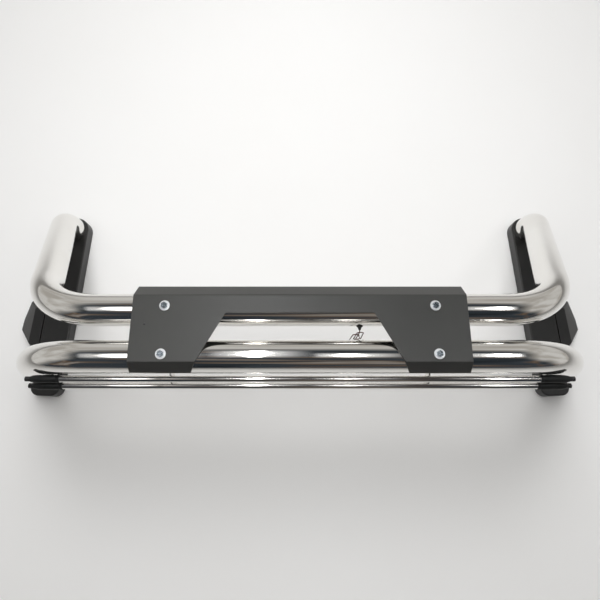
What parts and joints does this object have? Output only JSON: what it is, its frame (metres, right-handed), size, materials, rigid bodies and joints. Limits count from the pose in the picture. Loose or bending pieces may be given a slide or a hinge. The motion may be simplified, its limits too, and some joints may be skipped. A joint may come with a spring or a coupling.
{
  "type": "front grille guard",
  "caption": "Tubular vehicle guard: bent polished main tubes on black base rails, joined by a folded plate with a cut-out, with small bars below and a loose lamp lead.",
  "frame": {"origin": "middle of the bounding box, in the plane of the base rails' undersides", "axes": "+X across the guard, +Y from the small bars towards the far ends of the base rails, +Z the way the guard's plate faces, away from the base rails"},
  "size_m": [1.817, 0.6026, 0.4673],
  "materials": {
    "polished_tube": "polished stainless",
    "coated_plate": "satin powder coat, black",
    "coated_rail": "satin powder coat, black",
    "zinc_fastener": "bright zinc plate",
    "bare_steel": "plain steel",
    "moulded_black": "moulded, satin",
    "black_screw": "blackened steel",
    "rubber": "matt",
    "lead_jacket": "soft jacket"
  },
  "bodies": {
    "root": {"bar_hanger_left": "polished_tube", "bar_hanger_right": "polished_tube", "base_rail_left": "coated_rail", "base_rail_right": "coated_rail", "centre_plate": "coated_plate", "front_bar": "polished_tube", "front_bar_sleeve_left": "moulded_black", "front_bar_sleeve_right": "moulded_black", "front_sleeve_screw_left": "black_screw", "front_sleeve_screw_right": "black_screw", "lead_grommet": "rubber", "lead_hank": "lead_jacket", "leg_bolt_lower_left": "zinc_fastener", "leg_bolt_lower_right": "zinc_fastener", "leg_bolt_upper_left": "zinc_fastener", "leg_bolt_upper_right": "zinc_fastener", "leg_plug_lower_left": "bare_steel", "leg_plug_lower_right": "bare_steel", "leg_plug_upper_left": "bare_steel", "leg_plug_upper_right": "bare_steel", "light_lead": "lead_jacket", "lower_tube": "polished_tube", "plate_bolt_lower_left": "zinc_fastener", "plate_bolt_lower_right": "zinc_fastener", "plate_bolt_upper_left": "zinc_fastener", "plate_bolt_upper_right": "zinc_fastener", "plate_rivet": "black_screw", "plate_washer_lower_left": "zinc_fastener", "plate_washer_lower_right": "zinc_fastener", "plate_washer_upper_left": "zinc_fastener", "plate_washer_upper_right": "zinc_fastener", "rear_bar": "polished_tube", "rear_bar_sleeve_left": "moulded_black", "rear_bar_sleeve_right": "moulded_black", "rear_sleeve_screw_left": "black_screw", "rear_sleeve_screw_right": "black_screw", "side_wing_left": "coated_rail", "side_wing_right": "coated_rail", "threaded_insert_lower_left": "bare_steel", "threaded_insert_lower_right": "bare_steel", "threaded_insert_upper_left": "bare_steel", "threaded_insert_upper_right": "bare_steel", "upper_tube": "polished_tube", "wing_bolt_left_1": "zinc_fastener", "wing_bolt_left_2": "zinc_fastener", "wing_bolt_right_1": "zinc_fastener", "wing_bolt_right_2": "zinc_fastener"}
  },
  "joints": []
}
